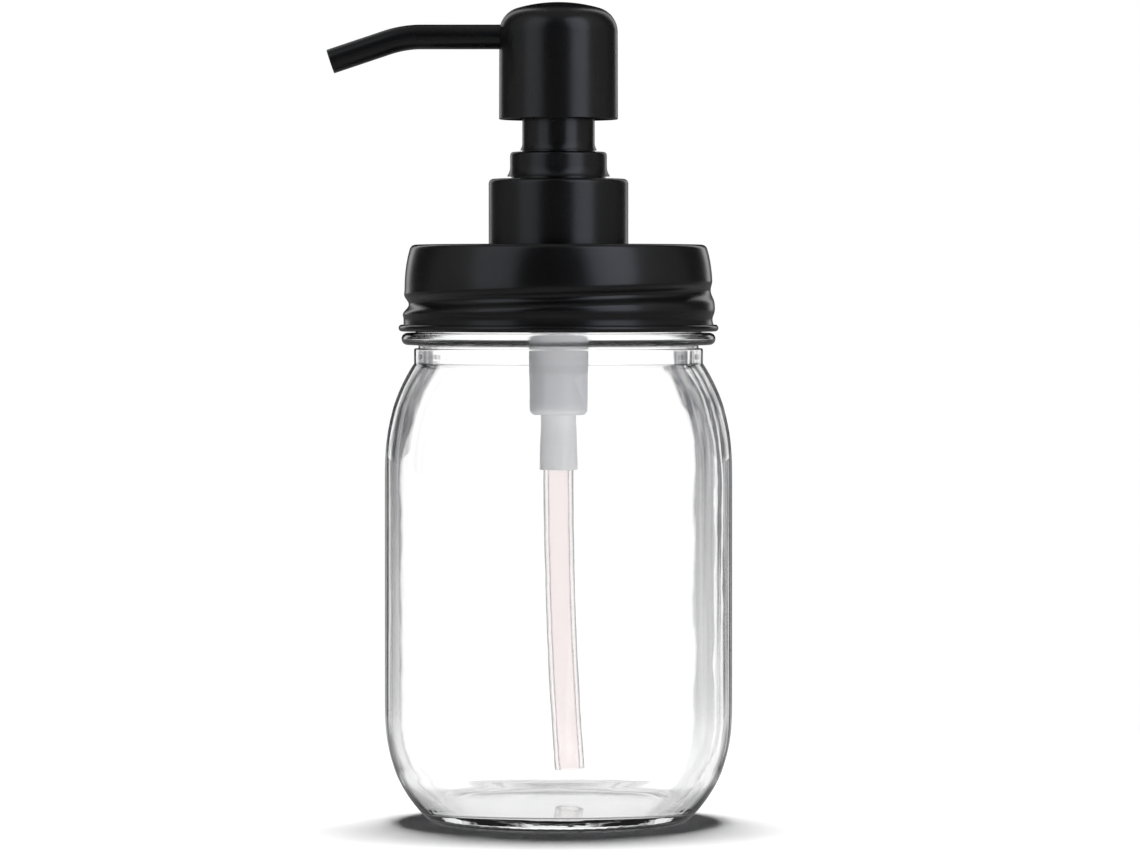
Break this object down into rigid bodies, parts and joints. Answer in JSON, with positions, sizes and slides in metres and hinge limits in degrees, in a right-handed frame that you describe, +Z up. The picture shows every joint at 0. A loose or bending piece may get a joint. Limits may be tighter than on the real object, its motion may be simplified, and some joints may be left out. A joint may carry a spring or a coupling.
{
  "type": "soap pump dispenser",
  "caption": "Straight-sided glass preserving jar with a black metal screw cap and a spring-loaded lotion pump with a domed head, a drooping spout and a dip tube.",
  "frame": {"origin": "on the jar's axis, on the flat surface that the jar stands on", "axes": "+Z up along the jar's and the pump's axis; -X towards the spout's tip; +Y away from a viewer who sees the spout on the left"},
  "size_m": [0.0935, 0.08, 0.1891],
  "materials": {
    "jar_glass": "clear pressed glass",
    "black_powder_coat": "fine matt powder coat",
    "cap_black": "satin lacquer on tinplate",
    "black_plastic": "moulded matt",
    "natural_plastic": "translucent natural polypropylene",
    "tube_plastic": "translucent natural polyethylene",
    "piston_plastic": "soft white polyethylene",
    "seal_rubber": "matt silicone",
    "spring_steel": "bright drawn wire",
    "ball_steel": "polished"
  },
  "bodies": {
    "jar": {"glass_jar": "jar_glass"},
    "liner": {"cap_liner": "seal_rubber"},
    "lid": {"screw_cap": "cap_black", "adapter_washer": "seal_rubber", "neck_adapter": "black_plastic"},
    "pump": {"pump_housing": "natural_plastic", "pump_gasket": "seal_rubber", "ball_cage": "piston_plastic", "chaplet": "black_plastic", "stem_bushing": "black_plastic", "dip_tube": "tube_plastic"},
    "closure": {"closure_shell": "black_powder_coat", "closure_nut": "black_plastic"},
    "spring": {"return_spring": "spring_steel"},
    "head": {"head_shell": "black_powder_coat", "head_core": "black_plastic", "spout_tube": "black_powder_coat", "stem": "natural_plastic", "piston_seat": "piston_plastic"},
    "piston": {"piston": "piston_plastic"},
    "ball": {"inlet_ball": "ball_steel"}
  },
  "joints": [
    {"name": "lid_lift", "type": "slide", "parent": "jar", "child": "liner", "axis": [0, 0, 1], "range_m": [0, 0.125]},
    {"name": "lid_turn", "type": "hinge", "parent": "liner", "child": "lid", "pos_m": [0, 0, 0.1327], "axis": [0, 0, 1], "range_deg": [0, 450]},
    {"name": "pump_rise", "type": "slide", "parent": "lid", "child": "pump", "axis": [0, 0, 1], "range_m": [0, 0.00528]},
    {"name": "closure_turn", "type": "hinge", "parent": "pump", "child": "closure", "pos_m": [0, 0, 0.14], "axis": [0, 0, 1], "range_deg": [0, 450]},
    {"name": "spout_swivel", "type": "hinge", "parent": "pump", "child": "spring", "pos_m": [0, 0, 0.15], "axis": [0, 0, 1], "continuous": true},
    {"name": "pump_stroke", "type": "slide", "parent": "spring", "child": "head", "axis": [0, 0, -1], "range_m": [0, 0.0135], "stiffness_N_per_m": 1260, "springref_m": -0.0063, "deforming": ["return_spring"]},
    {"name": "piston_slip", "type": "slide", "parent": "head", "child": "piston", "axis": [0, 0, 1], "range_m": [0, 0.001]},
    {"name": "ball_lift", "type": "slide", "parent": "pump", "child": "ball", "axis": [0, 0, 1], "range_m": [0, 0.0014]}
  ],
  "couplings": [
    {"joint": "closure_turn", "follows": "pump_rise", "rad_per_m": 1485.4}
  ]
}
